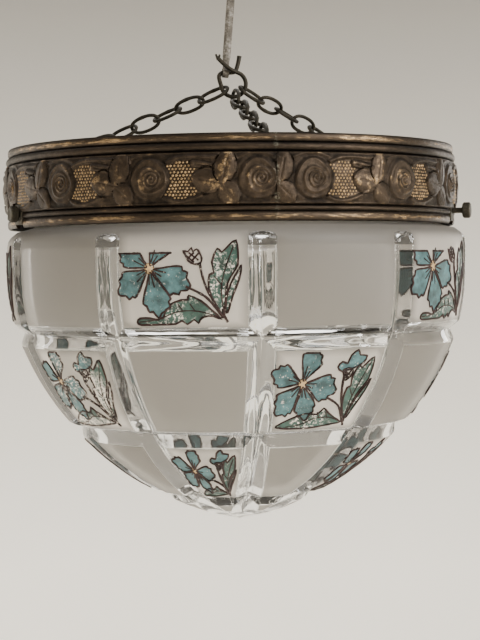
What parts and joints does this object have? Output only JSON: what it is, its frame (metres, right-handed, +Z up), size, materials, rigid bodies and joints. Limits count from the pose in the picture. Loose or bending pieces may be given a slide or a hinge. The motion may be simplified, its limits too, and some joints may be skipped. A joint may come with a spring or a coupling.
{
  "type": "glass bowl pendant light",
  "caption": "Pressed glass bowl with mitre-cut panels, held by thumb screws in an embossed brass gallery that hangs on chains from a ring and a flat strap.",
  "frame": {"origin": "centre of the eye at the top of the hanger strap, where the lamp is hooked up", "axes": "+Z up, -Y to the front (the gallery's vertical seam), +X to the right"},
  "size_m": [0.302, 0.3052, 0.3581],
  "materials": {
    "strap_steel": "flat steel strap, dull grey-brown with dark edges",
    "ring_iron": "bent iron wire, dark olive-grey patina",
    "chain_iron": "iron wire links, dark olive-grey patina",
    "eye_iron": "iron wire, dark patina",
    "gallery_brass": "pressed brass, dark bronze patina, worn golden on the relief",
    "seam_brass": "brass plate, dull",
    "hoop_iron": "flat iron hoop, dark",
    "bracket_iron": "iron, dark",
    "rivet_iron": "iron rivet, dark",
    "tip_fibre": "pressed fibre, brown",
    "screw_iron": "turned iron, dark, knurled head",
    "bowl_glass": "frosted and painted panels between clear mitre cuts"
  },
  "bodies": {
    "hanger": {"hanger_strap": "strap_steel"},
    "ring": {"gathering_ring": "ring_iron"},
    "pendant": {"chain_1_top_link": "chain_iron", "chain_1_link_1": "chain_iron", "chain_1_link_2": "chain_iron", "chain_1_link_3": "chain_iron", "chain_1_link_4": "chain_iron", "chain_1_link_5": "chain_iron", "chain_1_link_6": "chain_iron", "chain_1_link_7": "chain_iron", "chain_2_top_link": "chain_iron", "chain_2_link_1": "chain_iron", "chain_2_link_2": "chain_iron", "chain_2_link_3": "chain_iron", "chain_2_link_4": "chain_iron", "chain_2_link_5": "chain_iron", "chain_2_link_6": "chain_iron", "chain_2_link_7": "chain_iron", "chain_3_top_link": "chain_iron", "chain_3_link_1": "chain_iron", "chain_3_link_2": "chain_iron", "chain_3_link_3": "chain_iron", "chain_3_link_4": "chain_iron", "chain_3_link_5": "chain_iron", "chain_3_link_6": "chain_iron", "chain_3_link_7": "chain_iron", "chain_eye_1": "eye_iron", "chain_eye_2": "eye_iron", "chain_eye_3": "eye_iron", "gallery_band": "gallery_brass", "seam_strip": "seam_brass", "inner_hoop": "hoop_iron", "screw_bracket_1": "bracket_iron", "screw_bracket_2": "bracket_iron", "screw_bracket_3": "bracket_iron", "bracket_rivet_1": "rivet_iron", "bracket_rivet_2": "rivet_iron", "bracket_rivet_3": "rivet_iron", "glass_bowl": "bowl_glass"},
    "tip_1": {"screw_tip_1": "tip_fibre"},
    "screw_1": {"thumb_screw_1": "screw_iron"},
    "tip_2": {"screw_tip_2": "tip_fibre"},
    "screw_2": {"thumb_screw_2": "screw_iron"},
    "tip_3": {"screw_tip_3": "tip_fibre"},
    "screw_3": {"thumb_screw_3": "screw_iron"}
  },
  "joints": [
    {"name": "ring_swing", "type": "hinge", "parent": "hanger", "child": "ring", "pos_m": [-0.005, 0, -0.058], "axis": [1, 0, 0], "range_deg": [-20, 20]},
    {"name": "pendant_swing", "type": "hinge", "parent": "ring", "child": "pendant", "pos_m": [0, 0, -0.066], "axis": [0, 1, 0], "range_deg": [-20, 20]},
    {"name": "screw_travel_1", "type": "slide", "parent": "pendant", "child": "tip_1", "axis": [0.8949, -0.4462, 0], "range_m": [0, 0.00595]},
    {"name": "screw_turn_1", "type": "hinge", "parent": "tip_1", "child": "screw_1", "pos_m": [0.12299, -0.06247, -0.1519], "axis": [0.8949, -0.4462, 0], "range_deg": [0, 3065]},
    {"name": "screw_travel_2", "type": "slide", "parent": "pendant", "child": "tip_2", "axis": [0.0958, 0.9954, 0], "range_m": [0, 0.00595]},
    {"name": "screw_turn_2", "type": "hinge", "parent": "tip_2", "child": "screw_2", "pos_m": [0.01112, 0.13936, -0.1519], "axis": [0.0958, 0.9954, 0], "range_deg": [0, 3065]},
    {"name": "screw_travel_3", "type": "slide", "parent": "pendant", "child": "tip_3", "axis": [-0.9659, -0.2588, 0], "range_m": [0, 0.00595]},
    {"name": "screw_turn_3", "type": "hinge", "parent": "tip_3", "child": "screw_3", "pos_m": [-0.13753, -0.03624, -0.1519], "axis": [-0.9659, -0.2588, 0], "range_deg": [0, 3065]}
  ],
  "couplings": [
    {"joint": "screw_turn_1", "follows": "screw_travel_1", "rad_per_m": 8976},
    {"joint": "screw_turn_2", "follows": "screw_travel_2", "rad_per_m": 8976},
    {"joint": "screw_turn_3", "follows": "screw_travel_3", "rad_per_m": 8976}
  ]
}
